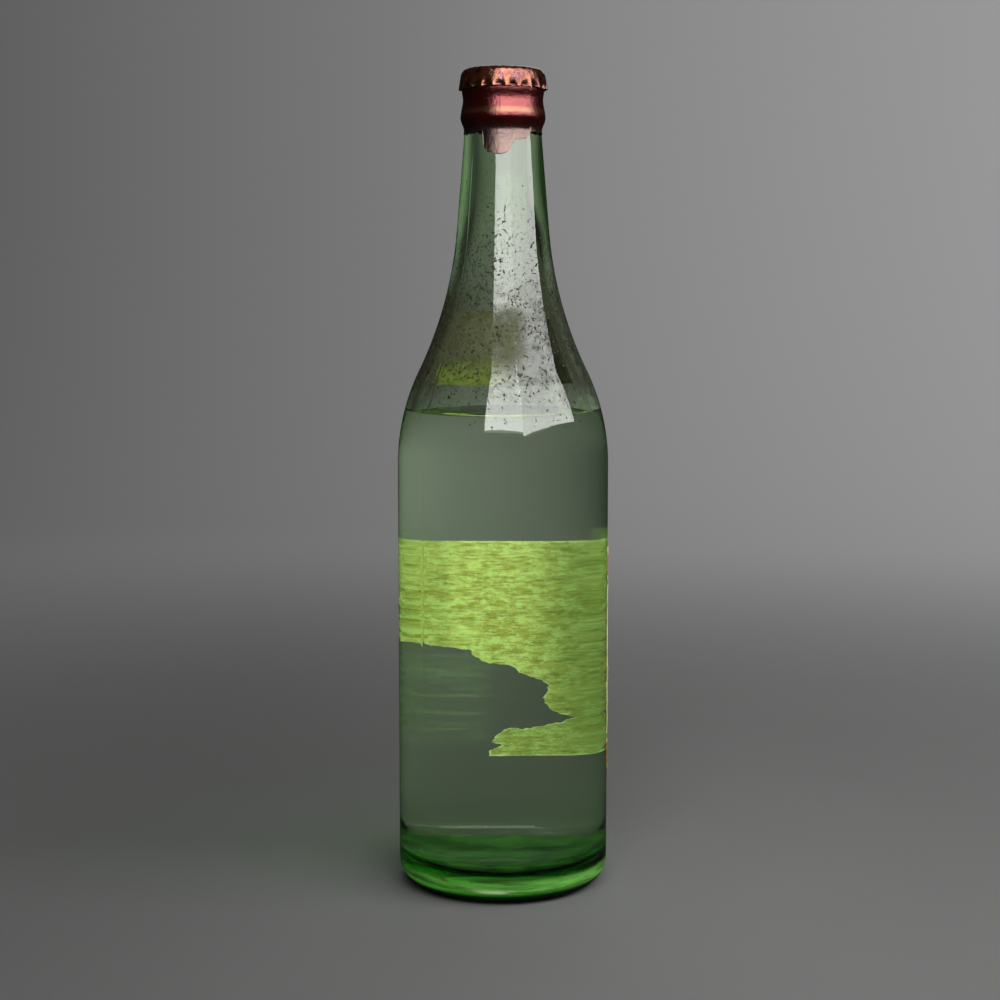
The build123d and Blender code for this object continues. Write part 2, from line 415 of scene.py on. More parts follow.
def mark_fringe(piece, torn, radius, width):
    """Stores how near each point of a label lies to its torn edge, from 1 on it to 0 a width away."""
    near = []
    for vertex in piece.data.vertices:
        x, y, z = vertex.co / MM
        along = radius * (pi / 2 - atan2(y, x))
        near.append(max(0.0, 1 - min(hypot(along - a, z - b) for a, b in torn) / width))
    piece.data.attributes.new("fringe", "FLOAT", "POINT").data.foreach_set("value", near)


def body_label():
    """Paper label on the far side of the barrel, its lower left corner torn away."""
    low, high = body_label_low.z / MM, body_label_high.z / MM
    left, right = (BARREL_R * side for side in LABEL_SIDES)
    tear = [(left, 79.5), (-24, 77.6), (-16, 76.3), (-9.6, 74.9), (-5.8, 73.8), (-4.9, 71.8), (-3.4, 70.0),
            (-1.0, 69.5), (1.3, 68.7), (3.3, 65.8), (5.0, 65.0), (7.2, 63.8), (8.4, 61.6), (7.9, 58.5),
            (7.7, 55.8), (8.6, 53.0), (12.8, 50.7), (9, 48.7), (4.5, 47.4), (1.0, 46.7), (-1.4, 44.6),
            (-1.8, 42.4), (-0.4, 41.0), (-2.5, 39.0), (-2.6, low)]
    clean = [(-2.6, low), (right - 1.2, low), (right, low + 1.4), (right, high - 0.8), (right - 1.0, high),
             (left + 2.0, high), (left, high - 2.4), (left, 79.5)]
    torn = torn_line(tear, 0.3, 0.7, 2.0)
    outline = torn + torn_line(clean, 0.9, 0.09, 5.0)

    def on_glass(along, up):
        angle = pi / 2 - along / BARREL_R
        out = Vector((cos(angle), sin(angle), 0.0))
        ripple = 0.10 * abs(rough_noise(along * 0.35, up * 1.6, 0, 5.0, 4.0, 3))
        edge = min([hypot(along - x, up - z) for x, z in outline[::3]])
        lift = 0.55 * max(0.0, 1 - edge / 2.2) ** 2 * max(0.0, wobble(along, up, 0, 6, 9.0) + 0.1)
        r = BARREL_R - PAPER_SINK + ripple + lift + outer_offset(angle, BARREL_R, up)
        return Vector((r * out.x, r * out.y, up)), out

    piece = sheet_mesh("body_label_paper", outline, on_glass, LABEL_SPACING, PAPER_SHEET,
                       [label_print_material(), paper_back_material()])
    mark_fringe(piece, torn[::2], BARREL_R, 0.9)
    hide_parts("body_label")
    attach(piece, "bottle")


def neck_label():
    """Small paper label lying on the far side of the shoulder."""
    low, high = neck_label_low.z / MM, neck_label_high.z / MM
    middle_r = radius_at(SIDE, (low + high) / 2)
    half = middle_r * NECK_LABEL_HALF
    corners = [(-half, low + 1.5), (-half * 0.4, low), (half * 0.45, low - 0.2), (half, low + 1.8),
               (half * 0.98, high - 2.0), (half * 0.5, high), (-half * 0.4, high - 0.1),
               (-half * 0.97, high - 1.6), (-half, low + 1.5)]
    outline = torn_line(corners, 0.7, 0.22, 8.0)

    def on_glass(along, up):
        angle = pi / 2 - along / middle_r
        r = radius_at(SIDE, up)
        slope = (radius_at(SIDE, up + 0.5) - radius_at(SIDE, up - 0.5))
        out = Vector((cos(angle), sin(angle), -slope)).normalized()
        ripple = 0.12 * abs(rough_noise(along * 0.5, up * 1.2, 0, 4.0, 6.0, 3))
        r += outer_offset(angle, r, up)
        return Vector((r * cos(angle), r * sin(angle), up)) + out * (ripple - PAPER_SINK), out

    piece = sheet_mesh("neck_label_paper", outline, on_glass, LABEL_SPACING, PAPER_SHEET,
                       [neck_print_material(), neck_back_material()])
    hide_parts("neck_label")
    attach(piece, "bottle")


def film(name, span, rows, material, angles):
    """Thin open skin just outside the glass, for what lies on it."""
    low, high = span
    heights = [low + (high - low) * i / rows for i in range(rows + 1)]
    points, faces = [], []
    closed = angles[-1] - angles[0] > radians(350)
    for z in heights:
        r = radius_at(SIDE, z)
        for a in angles:
            far = r + outer_offset(a, r, z) + FILM_LIFT
            points.append((far * cos(a), far * sin(a), z))
    count = len(angles)
    for i in range(rows):
        for k in range(count if closed else count - 1):
            n = (k + 1) % count
            faces.append((i * count + k, i * count + n, (i + 1) * count + n, (i + 1) * count + k))
    piece = make_mesh(name, points, faces, [material])
    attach(piece, "bottle")


def dirt_specks():
    """Dried specks of dirt on the shoulder and neck, each a low crumb that sits on the glass."""
    draw = Random(7)
    points, faces = [], []
    for _ in range(SPECK_DRAWS):
        z = draw.triangular(*SPECK_HEIGHTS)
        a = draw.uniform(0, 2 * pi)
        size = draw.uniform(0.13, 0.34) + 0.25 * draw.random() ** 5
        thick_here = rough_noise(cos(a) * 20, sin(a) * 20, z, 9.0, 5.5)
        if thick_here < draw.uniform(-0.55, 0.40) or draw.random() < (z - 190) / 45:
            continue
        middle_r = radius_at(SIDE, z)
        start = len(points)
        for i in range(6):
            turn = i * pi / 3
            reach = size * draw.uniform(0.6, 1.3)
            angle = a + reach * cos(turn) / middle_r
            height = z + reach * sin(turn)
            r = radius_at(SIDE, height)
            r += outer_offset(angle, r, height) - SPECK_SINK
            points.append((r * cos(angle), r * sin(angle), height))
        r = middle_r + outer_offset(a, middle_r, z) + SPECK_RISE
        points.append((r * cos(a), r * sin(a), z))
        faces += [(start + i, start + (i + 1) % 6, start + 6) for i in range(6)]
        faces.append(tuple(start + i for i in range(5, -1, -1)))
    piece = make_mesh("dirt_specks", points, faces, [speck_material()])
    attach(piece, "bottle")


# -------- foil

def thick_grid(name, rows, material, thickness, closed_top=None, sharp=50):
    """Closed skin from rows of points round the bottle, thickened towards the axis.
    closed_top joins the first row to one point."""
    count = len(rows[0])
    outer = [p for row in rows for p in row]
    inner = []
    for p in outer:
        r = hypot(p[0], p[1])
        k = max(0.0, 1 - thickness / r)
        inner.append((p[0] * k, p[1] * k, p[2] - (thickness * 0.5 if closed_top else 0)))
    size = len(outer)
    points = outer + inner
    faces = []
    for i in range(len(rows) - 1):
        for k in range(count):
            n = (k + 1) % count
            a, b, c, d = i * count + k, i * count + n, (i + 1) * count + n, (i + 1) * count + k
            faces.append((a, d, c, b))
            faces.append((a + size, b + size, c + size, d + size))
    last = (len(rows) - 1) * count
    for k in range(count):
        n = (k + 1) % count
        faces.append((last + k, last + k + size, last + n + size, last + n))
        if not closed_top:
            faces.append((k, n, n + size, k + size))
    if closed_top:
        tip, under = len(points), len(points) + 1
        points += [closed_top, (closed_top[0], closed_top[1], closed_top[2] - thickness)]
        for k in range(count):
            n = (k + 1) % count
            faces.append((tip, k, n))
            faces.append((under, n + size, k + size))
    return make_mesh(name, points, faces, [material], sharp=sharp)


def flute(angle):
    """How far the crown's skirt stands out at an angle, from 0 in a valley to 1 on a ridge."""
    return (0.5 + 0.5 * cos(CORRUGATIONS * angle)) ** 1.25


def crown_foil():
    """Foil pressed over the crown, crinkled on top and following its corrugations."""
    valley, corner, flare = 13.47, 2.25, 0.84
    top = CROWN_TOP + CROWN_FOIL_COVER
    angles = [2 * pi * i / (CORRUGATIONS * 16) for i in range(CORRUGATIONS * 16)]
    outline = joined(
        line((0.9, top), (valley - corner, top), 16),
        arc((valley - corner, top - corner), corner, pi / 2, 0, 8),
        line((valley, top - corner), (valley, CROWN_BOTTOM - 0.25), 14),
    )
    rows = []
    for r, z in outline:
        down = max(0.0, (top - corner * 0.75 - z) / (top - corner * 0.75 - CROWN_BOTTOM))
        row = []
        for a in angles:
            x, y = r * cos(a), r * sin(a)
            crumple = 0.16 * (abs(rough_noise(x, y, z, 2.6, 5.0, 3)) - 0.25)
            crumple += 0.05 * rough_noise(x, y, z, 0.9, 8.0, 2)
            hem = 0.28 * rough_noise(cos(a) * 9, sin(a) * 9, 0, 2.2, 3.3, 3) if down > 0.93 else 0.0
            pressed = min(1.0, 1.15 * down ** 2)
            wide = r + flare * down * (1 - pressed * (1 - flute(a)))
            if r < valley - corner * 0.5:
                row.append((x, y, z + crumple))
            else:
                wide += 0.6 * crumple
                row.append((wide * cos(a), wide * sin(a), z + 0.3 * crumple + hem - 0.12 * flute(a) * down))
        rows.append(row)
    piece = thick_grid("crown_foil_sheet", rows, crown_foil_material(), FOIL_SHEET, (0.0, 0.0, top))
    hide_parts("crown_foil")
    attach(piece, "cap")


def foil_hem(angle):
    """Height of the neck foil's torn lower edge. TONGUE says how far it hangs, by degrees from -Y."""
    front = degrees((angle + pi / 2 + pi) % (2 * pi) - pi)
    x, y = cos(angle) * 13, sin(angle) * 13
    ragged = 0.5 * rough_noise(x, y, 0, 4.0, 1.7, 4) + 0.25 * rough_noise(x, y, 0, 0.9, 4.4, 2)
    height = HEM_HEIGHT + ragged
    for (a0, d0), (a1, d1) in zip(TONGUE, TONGUE[1:]):
        if a0 <= front <= a1:
            height += d0 + (d1 - d0) * (front - a0) / (a1 - a0)
    return height


def neck_foil():
    """Foil sleeve round the finish, torn below, with a tongue hanging at the front."""
    top = LOCKING_RING_LOW + 0.15
    rows = 46
    angles = [2 * pi * i / 400 for i in range(400)]
    grid = []
    for i in range(rows + 1):
        t = i / rows
        row = []
        for a in angles:
            hem = foil_hem(a)
            z = top + (hem - top) * t
            r = radius_at(SIDE, z)
            x, y = r * cos(a), r * sin(a)
            loose = max(0.0, 1 - (z - hem) / 3.0)
            hanging = max(0.0, min(1.0, (BEAD_LOW - 1.5 - z) / 6))
            pleat = 0.05 * abs(rough_noise(x * 2.2, y * 2.2, z * 0.5, 2.0, 2.2, 3))
            curl = loose ** 2 * (0.10 + 0.22 * abs(wobble(x, y, z, 2.2, 6.0))) + 0.35 * hanging ** 2
            r += 0.09 + pleat + curl
            row.append((r * cos(a), r * sin(a), z))
        grid.append(row)
    piece = thick_grid("neck_foil_sheet", grid, neck_foil_material(), FOIL_SHEET, sharp=60)
    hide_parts("neck_foil")
    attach(piece, "bottle")


# -------- materials

def new_material(name):
    """Empty node material and its tree."""
    material = bpy.data.materials.new(name)
    material.use_nodes = True
    material.node_tree.nodes.clear()
    return material, material.node_tree


def node(tree, kind, inputs=None, **settings):
    """Outputs of a new shader node. inputs maps an input's name or number to a value or a socket."""
    made = tree.nodes.new("ShaderNode" + kind)
    for key, value in settings.items():
        setattr(made, key, value)
    for key, value in (inputs or {}).items():
        socket = made.inputs[key]
        if isinstance(value, bpy.types.NodeSocket):
            tree.links.new(value, socket)
        elif socket.type == "RGBA":
            socket.default_value = (*value, 1.0)
        else:
            socket.default_value = value
    return made.outputs


def maths(tree, operation, a, b=0.0, c=None, clamp=False):
    """Result of a maths node."""
    inputs = {0: a, 1: b}
    if c is not None:
        inputs[2] = c
    return node(tree, "Math", inputs, operation=operation, use_clamp=clamp)[0]


def times(tree, first, *others):
    """Product of two or more values."""
    for other in others:
        first = maths(tree, "MULTIPLY", first, other)
    return first


def greatest(tree, first, *others):
    """Largest of two or more values."""
    for other in others:
        first = maths(tree, "MAXIMUM", first, other)
    return first


def mixed(tree, factor, a, b):
    """Colour a turning into colour b as factor goes from 0 to 1."""
    return node(tree, "Mix", {0: factor, 6: a, 7: b}, data_type="RGBA")[2]


def ramp(tree, value, low, high, clamp_low=0.0, clamp_high=1.0):
    """Smooth step from clamp_low at low to clamp_high at high."""
    limits = {0: value, 1: low, 2: high, 3: clamp_low, 4: clamp_high}
    return node(tree, "MapRange", limits, interpolation_type="SMOOTHSTEP")[0]


def painted(tree, paint, ink, value, low, high, most=1.0):
    """The paint, with a share of ink that grows from 0 to most as value goes from low to high."""
    return mixed(tree, ramp(tree, value, low, high, 0.0, most), paint, ink)


def between(tree, value, rise, full, fade, end):
    """1 from full to fade, falling smoothly to 0 at rise and at end."""
    return times(tree, ramp(tree, value, rise, full), ramp(tree, value, end, fade))


def stripe(tree, value, low, high):
    """1 between two values and 0 outside them, with hard edges."""
    return times(tree, maths(tree, "GREATER_THAN", value, low), maths(tree, "LESS_THAN", value, high))


def from_axis(tree, x, y):
    """Distance from the bottle's axis."""
    return maths(tree, "SQRT", maths(tree, "MULTIPLY_ADD", x, x, times(tree, y, y)))


def position(tree):
    """Place in the object, in metres."""
    return node(tree, "TexCoord")["Object"]


def place(tree):
    """x, y and z of the place in the object, in metres."""
    return tuple(node(tree, "SeparateXYZ", {0: position(tree)}))


def cloudy(tree, size, detail=4.0, roughness=0.55, stretch=(1, 1, 1)):
    """Fractal noise from 0 to 1 with features of about size millimetres."""
    scaled = node(tree, "Mapping", {0: position(tree), 3: stretch})[0]
    return node(tree, "TexNoise", {"Vector": scaled, "Scale": 1 / (size * MM), "Detail": detail,
                                   "Roughness": roughness})[0]


def bumped(tree, height, strength, depth):
    """Normal of a surface that rises by depth metres as height goes from 0 to 1."""
    return node(tree, "Bump", {"Strength": strength, "Distance": depth, "Height": height})[0]


def finished(material, shader, volume=None):
    """The material, once its shader and any volume are joined to its output."""
    joins = {"Surface": shader}
    if volume:
        joins["Volume"] = volume
    node(material.node_tree, "OutputMaterial", joins)
    return material


def lets_lamps_through(tree, shader, tint):
    """The shader for sight, and clear tinted glass for shadow rays, so that light gets inside."""
    clear = node(tree, "BsdfTransparent", {0: tint})[0]
    is_shadow = node(tree, "LightPath")["Is Shadow Ray"]
    return node(tree, "MixShader", {0: is_shadow, 1: shader, 2: clear})[0]


# Zones in metres: where each starts, is full, begins to fade and ends.
PAINTED_HEEL_GLOW = (0.0036, 0.0048, 0.0064, 0.0100)
PAINTED_GLINT = (0.0042, 0.0047, 0.0053, 0.0062)
FLOOR_GLASS = (0.0060, 0.0072, 0.0120, 0.0150)
HAZE_BAND = (0.152, 0.170, 0.190, 0.203)
SMUDGE_BAND = (0.1640, 0.1770, 0.1850, 0.1925)
PAINTED_HIGHLIGHT_BAND = (0.2500, 0.2508, 0.2514, 0.2526)
RESIDUE_ACROSS = (-0.0330, -0.0290, -0.0060, 0.0010)
RESIDUE_UP = (0.0382, 0.0440, 0.0700, 0.0758)


def glass_tint(tree, x, z, floor):
    """Tint of the glass's surfaces: paler high on the neck, darkened by painted shade on the neck's right
    side, and nearly black under the heel, where painted shade stands in for the contact shadow.
    """
    tint = painted(tree, (0.853, 0.888, 0.828), (0.866, 0.880, 0.843), z, 0.060, 0.150)
    neck = ramp(tree, z, 0.150, 0.190)
    tint = mixed(tree, neck, tint, (0.805, 0.828, 0.768))
    tint = painted(tree, tint, (0.925, 0.935, 0.875), z, 0.200, 0.222)
    # Painted shade: the right side of the neck is darkened.
    right = times(tree, ramp(tree, x, 0.0050, 0.0100, 0.0, 0.70), neck)
    tint = mixed(tree, right, tint, (0.33, 0.36, 0.28))
    tint = mixed(tree, floor, tint, (0.30, 0.68, 0.20))
    # Painted shade: the glass's lowest few millimetres are made nearly black.
    return painted(tree, tint, (0.012, 0.014, 0.010), z, 0.0044, 0.0030)


def glass_haze(tree, z):
    """Roughness: almost clear, with scuffs where the bottle stands."""
    haze = ramp(tree, cloudy(tree, 6.0, 5.0, 0.6), 0.5, 0.85, 0.0, 0.006)
    facing = node(tree, "SeparateXYZ", {0: node(tree, "NewGeometry")["True Normal"]})[2]
    scuffs = cloudy(tree, 1.2, 4.0, 0.6)
    frost = times(tree, ramp(tree, facing, -0.90, -0.985), ramp(tree, z, 0.0004, 0.0002))
    return maths(tree, "MULTIPLY_ADD", frost, ramp(tree, scuffs, 0.3, 0.7, 0.30, 0.55), haze)


def painted_glass_glow(tree, x, y, z, floor):
    """Painted light: a diffuse green glow that stands in for the light thick glass gathers. Gives how much
    of it shows, and its shader. It is bright round the heel and more on its front, brightest in one painted
    glint at the front, and dark green in the floor."""
    far = from_axis(tree, x, y)
    swirl = cloudy(tree, 3.0, 3.0, 0.55, (0.2, 0.2, 2.3))
    heel = times(tree, between(tree, z, *PAINTED_HEEL_GLOW), ramp(tree, far, 0.0305, 0.0320),
                 ramp(tree, y, 0.012, -0.012, 0.25, 1.0), ramp(tree, swirl, 0.36, 0.62, 0.17, 0.42))
    aside = maths(tree, "ABSOLUTE", maths(tree, "ADD", x, 0.0035))
    # Painted highlight: one near-white glint low on the front of the heel.
    glint = times(tree, between(tree, z, *PAINTED_GLINT), ramp(tree, aside, 0.0090, 0.0020),
                  ramp(tree, y, 0.0, -0.020))
    amount = greatest(tree, heel, times(tree, glint, 0.62),
                      times(tree, floor, ramp(tree, swirl, 0.35, 0.60, 0.55, 0.75)))
    deep = mixed(tree, ramp(tree, cloudy(tree, 7.0, 4.0, 0.6), 0.42, 0.60),
                 (0.004, 0.020, 0.003), (0.018, 0.060, 0.008))
    glow = mixed(tree, ramp(tree, far, 0.0312, 0.0304), (0.28, 0.80, 0.14), deep)
    glow = mixed(tree, glint, glow, (0.70, 0.95, 0.52))
    return amount, node(tree, "BsdfDiffuse", {"Color": glow})[0]


def glass_material():
    """Pale green bottle glass: faintly uneven surface, deeper green where it is thick."""
    material, tree = new_material("green_glass")
    x, y, z = place(tree)
    uneven = cloudy(tree, 9.0, 2.0, 0.5, (1, 1, 0.6))
    fine = cloudy(tree, 1.4, 2.0, 0.5)
    height = maths(tree, "MULTIPLY_ADD", fine, 0.12, uneven)
    bump = bumped(tree, height, 0.03, 0.0004)
    floor = times(tree, ramp(tree, from_axis(tree, x, y), 0.0300, 0.0275), between(tree, z, *FLOOR_GLASS))
    surface = node(tree, "BsdfPrincipled", {
        "Base Color": glass_tint(tree, x, z, floor), "Roughness": glass_haze(tree, z),
        "IOR": 1.51, "Transmission Weight": 1.0, "Normal": bump,
    })[0]
    # Painted light: a diffuse green glow and glint mixed into the glass round the heel and in its floor.
    amount, painted_glow = painted_glass_glow(tree, x, y, z, floor)
    surface = node(tree, "MixShader", {0: amount, 1: surface, 2: painted_glow})[0]
    volume = node(tree, "VolumeAbsorption", {"Color": (0.235, 0.788, 0.059), "Density": 55.0})[0]
    shade = painted(tree, (0.04, 0.06, 0.04), (0.88, 0.94, 0.87), z, 0.004, 0.034)
    return finished(material, lets_lamps_through(tree, surface, shade), volume)


def drink_material():
    """Nearly clear drink with a faint haze."""
    material, tree = new_material("drink")
    cloud = cloudy(tree, 22.0, 3.0)
    tint = mixed(tree, cloud, (0.998, 0.998, 0.996), (0.985, 0.99, 0.98))
    surface = node(tree, "BsdfPrincipled", {
        "Base Color": tint, "Roughness": ramp(tree, cloud, 0.3, 0.8, 0.0, 0.005), "IOR": 1.34,
        "Transmission Weight": 1.0,
    })[0]
    volume = node(tree, "VolumeAbsorption", {"Color": (0.5, 0.75, 0.4), "Density": 0.6})[0]
    return finished(material, lets_lamps_through(tree, surface, (0.99, 0.995, 0.985)), volume)


def paper_shader(tree, paint, bump_height, through):
    """Matt paper that lets a little light through."""
    bump = bumped(tree, bump_height, 0.6, 0.0002)
    front = node(tree, "BsdfPrincipled", {"Base Color": paint, "Roughness": 0.82, "Normal": bump,
                                          "Specular IOR Level": 0.25})[0]
    glow = node(tree, "BsdfTranslucent", {"Color": paint, "Normal": bump})[0]
    return node(tree, "MixShader", {0: through, 1: front, 2: glow})[0]


def streaks(tree):
    """Glue streaks and wrinkles that run round the bottle."""
    return cloudy(tree, 4.4, 7.0, 0.76, (1.0, 1.0, 2.7))


def paper_back_material():
    """Glued side of the body label: aged paper with brushed glue streaks, dark and light. Painted shade
    darkens its right side; the same dark green also darkens its left edge and foot.
    """
    material, tree = new_material("body_paper_back")
    x, _, z = place(tree)
    broad = cloudy(tree, 16.0, 4.0)
    patchy = cloudy(tree, 2.6, 7.0, 0.78)
    streak = streaks(tree)
    thin = cloudy(tree, 1.9, 6.0, 0.78, (0.6, 0.6, 2.3))
    paint = painted(tree, (0.60, 0.37, 0.14), (0.78, 0.51, 0.25), broad, 0.35, 0.65)
    paint = painted(tree, paint, (0.97, 0.74, 0.47), patchy, 0.46, 0.57, 0.80)
    paint = painted(tree, paint, (0.26, 0.16, 0.03), streak, 0.50, 0.59, 0.38)
    paint = painted(tree, paint, (0.20, 0.12, 0.02), thin, 0.53, 0.58, 0.5)
    paint = painted(tree, paint, (0.90, 0.74, 0.44), thin, 0.46, 0.41, 0.5)
    # Painted shade: a dark green over the right side, and the same over the left edge and foot.
    right = ramp(tree, x, 0.0030, 0.0130, 0.0, 0.5)
    foot = ramp(tree, z, 0.070, 0.052, 0.0, 0.35)
    left = ramp(tree, x, -0.0075, -0.0115, 0.0, 0.25)
    paint = mixed(tree, greatest(tree, right, foot, left), paint, (0.060, 0.095, 0.008))
    low, high = body_label_low.z, body_label_high.z
    rim = greatest(tree, ramp(tree, z, high - 0.0008, high - 0.0003),
                   ramp(tree, z, low + 0.0008, low + 0.0003))
    fringe = node(tree, "Attribute", attribute_name="fringe")["Fac"]
    pale = greatest(tree, times(tree, rim, 0.7), ramp(tree, fringe, 0.45, 0.9))
    pale = times(tree, pale, ramp(tree, patchy, 0.42, 0.56, 0.1, 0.8))
    paint = mixed(tree, pale, paint, (1.0, 0.80, 0.62))
    height = maths(tree, "ADD", streak, thin)
    return finished(material, paper_shader(tree, paint, height, 0.10))


def fruit_slice(tree, paint, along, up):
    """Paints a round fruit slice, centred at the given distances along and up the label."""
    reach = maths(tree, "SQRT", maths(tree, "ADD", times(tree, along, along), times(tree, up, up)))
    turn = maths(tree, "ARCTAN2", up, along)
    spoke = maths(tree, "ABSOLUTE", maths(tree, "SINE", times(tree, turn, 5.0)))
    pulp = maths(tree, "GREATER_THAN", times(tree, spoke, reach), 1.9)
    pulp = times(tree, pulp, maths(tree, "LESS_THAN", reach, 14.6))
    paint = mixed(tree, maths(tree, "LESS_THAN", reach, 19.0), paint, (0.72, 0.22, 0.02))
    paint = mixed(tree, maths(tree, "LESS_THAN", reach, 16.6), paint, (0.80, 0.66, 0.34))
    return mixed(tree, pulp, paint, (0.76, 0.34, 0.04))


def label_print_material():
    """Printed side of the body label: a fruit slice between coloured bands on aged paper."""
    material, tree = new_material("body_paper_print")
    x, y, z = place(tree)
    along = times(tree, maths(tree, "ARCTAN2", x, y), BARREL_R)
    up = maths(tree, "DIVIDE", z, MM)
    cloud = cloudy(tree, 14.0, 5.0, 0.6)
    paper = painted(tree, (0.74, 0.64, 0.36), (0.60, 0.46, 0.22), cloud, 0.35, 0.75)
    low, high = body_label_low.z / MM, body_label_high.z / MM
    red, green = (0.42, 0.035, 0.025), (0.04, 0.16, 0.05)
    paint = paper
    for start, end, ink in ((high - 9, high - 2, red), (high - 12, high - 10.4, green),
                            (low + 2, low + 9, red), (low + 10.4, low + 12, green)):
        paint = mixed(tree, stripe(tree, up, start, end), paint, ink)
    centre = maths(tree, "SUBTRACT", along, 8.0)
    paint = fruit_slice(tree, paint, centre, maths(tree, "SUBTRACT", up, (low + high) / 2))
    for side in (-34.0, 34.0):
        bar = stripe(tree, centre, side - 1.2, side + 1.2)
        bar = times(tree, bar, stripe(tree, up, low + 16, high - 16))
        paint = mixed(tree, bar, paint, green)
    worn = cloudy(tree, 2.6, 8.0, 0.72, (0.6, 0.6, 1.6))
    paint = painted(tree, paint, paper, worn, 0.56, 0.66, 0.85)
    grime = ramp(tree, cloudy(tree, 7.0, 6.0, 0.65), 0.5, 0.8, 0.0, 0.6)
    paint = mixed(tree, grime, paint, (0.26, 0.19, 0.10))
    fringe = node(tree, "Attribute", attribute_name="fringe")["Fac"]
    paint = painted(tree, paint, (0.80, 0.74, 0.60), fringe, 0.2, 0.7)
    return finished(material, paper_shader(tree, paint, streaks(tree), 0.18))


def neck_back_material():
    """Glued side of the neck label: dirty olive, with one paler patch low on its left."""
    material, tree = new_material("neck_paper_back")
    x, _, z = place(tree)
    cloud = ramp(tree, cloudy(tree, 7.0, 5.0, 0.62), 0.35, 0.7)
    paint = mixed(tree, cloud, (0.075, 0.050, 0.028), (0.135, 0.092, 0.048))
    patch = times(tree, ramp(tree, z, 0.176, 0.168), ramp(tree, x, 0.006, -0.002), 0.8)
    paint = mixed(tree, patch, paint, (0.56, 0.38, 0.18))
    return finished(material, paper_shader(tree, paint, streaks(tree), 0.12))


def neck_print_material():
    """Printed side of the neck label: plain bands on dirty paper."""
    material, tree = new_material("neck_paper_print")
    _, _, z = place(tree)
    low, tall = neck_label_low.z, neck_label_high.z - neck_label_low.z
    cloud = cloudy(tree, 9.0, 5.0, 0.6)
    paint = painted(tree, (0.58, 0.48, 0.26), (0.40, 0.30, 0.15), cloud, 0.35, 0.7)
    red, green = (0.40, 0.04, 0.03), (0.05, 0.16, 0.06)
    for start, end, ink in ((0.10, 0.30, red), (0.70, 0.90, red), (0.36, 0.41, green), (0.59, 0.64, green)):
        paint = mixed(tree, stripe(tree, z, low + tall * start, low + tall * end), paint, ink)
    worn = cloudy(tree, 2.2, 8.0, 0.72)
    paint = painted(tree, paint, (0.45, 0.36, 0.2), worn, 0.52, 0.66, 0.8)
    return finished(material, paper_shader(tree, paint, streaks(tree), 0.15))


def foil_shader(tree, paint, roughness, height, strength=0.5, depth=0.0003):
    """Lacquered metal foil."""
    bump = bumped(tree, height, strength, depth)
    return node(tree, "BsdfPrincipled", {
        "Base Color": paint, "Metallic": 0.9, "Roughness": roughness, "Normal": bump,
        "Coat Weight": 0.35, "Coat Roughness": 0.16, "Coat Normal": bump,
    })[0]


def crown_foil_material():
    """Dark red foil rubbed to orange and pink in scattered patches."""
    material, tree = new_material("crown_foil")
    patches = cloudy(tree, 5.0, 5.0, 0.65)
    spots = cloudy(tree, 1.6, 5.0, 0.7)
    paint = painted(tree, (0.045, 0.006, 0.005), (0.115, 0.034, 0.012), patches, 0.40, 0.58)
    paint = painted(tree, paint, (0.14, 0.06, 0.058), spots, 0.52, 0.66)
    scratch = cloudy(tree, 0.8, 3.0, 0.6)
    paint = painted(tree, paint, (0.012, 0.003, 0.002), scratch, 0.60, 0.68, 0.8)
    shiny = ramp(tree, spots, 0.3, 0.7, 0.14, 0.30)
    return finished(material, foil_shader(tree, paint, shiny, patches, 0.8, 0.0005))


def neck_foil_material():
    """Smooth dark red foil with a painted highlight line round it, dull and greyish at its torn lower edge.
    """
    material, tree = new_material("neck_foil")
    _, _, z = place(tree)
    patches = cloudy(tree, 6.0, 5.0, 0.6)
    paint = painted(tree, (0.085, 0.009, 0.009), (0.062, 0.007, 0.006), patches, 0.4, 0.7)
    # Painted highlight: a paler band round the foil just above the bead.
    rubbed = times(tree, between(tree, z, *PAINTED_HIGHLIGHT_BAND), 0.5)
    paint = mixed(tree, rubbed, paint, (0.14, 0.075, 0.035))
    worn = cloudy(tree, 1.3, 6.0, 0.7)
    edge = ramp(tree, z, 0.2478, 0.2450, 0.0, 0.85)
    paint = mixed(tree, edge, paint, (0.050, 0.036, 0.030))
    paint = painted(tree, paint, (0.015, 0.004, 0.004), worn, 0.62, 0.72, 0.8)
    shiny = ramp(tree, worn, 0.3, 0.7, 0.14, 0.26)
    return finished(material, foil_shader(tree, paint, shiny, maths(tree, "ADD", patches, worn)))


def tinplate_material():
    """Tinned steel with a dull bloom and a few rust specks."""
    material, tree = new_material("tinplate")
    bloom = cloudy(tree, 4.0, 5.0, 0.6)
    paint = mixed(tree, bloom, (0.66, 0.63, 0.57), (0.50, 0.47, 0.42))
    rust = ramp(tree, cloudy(tree, 1.8, 6.0, 0.7), 0.62, 0.7)
    paint = mixed(tree, rust, paint, (0.20, 0.07, 0.025))
    roughness = maths(tree, "MULTIPLY_ADD", rust, 0.4, 0.28)
    bump = bumped(tree, bloom, 0.3, 0.0002)
    return finished(material, node(tree, "BsdfPrincipled", {
        "Base Color": paint, "Metallic": 0.95, "Roughness": roughness, "Normal": bump})[0])


def cork_material():
    """Pressed cork: light crumbs with dark pores."""
    material, tree = new_material("cork")
    crumbs = node(tree, "TexVoronoi", {"Vector": position(tree), "Scale": 900.0})
    tone = node(tree, "SeparateColor", {0: crumbs["Color"]})[0]
    paint = mixed(tree, tone, (0.42, 0.24, 0.11), (0.60, 0.40, 0.21))
    pores = ramp(tree, cloudy(tree, 0.8, 5.0, 0.7), 0.58, 0.66)
    paint = mixed(tree, pores, paint, (0.12, 0.055, 0.02))
    bump = bumped(tree, crumbs["Distance"], 0.7, 0.0003)
    return finished(material, node(tree, "BsdfPrincipled", {
        "Base Color": paint, "Roughness": 0.85, "Normal": bump})[0])


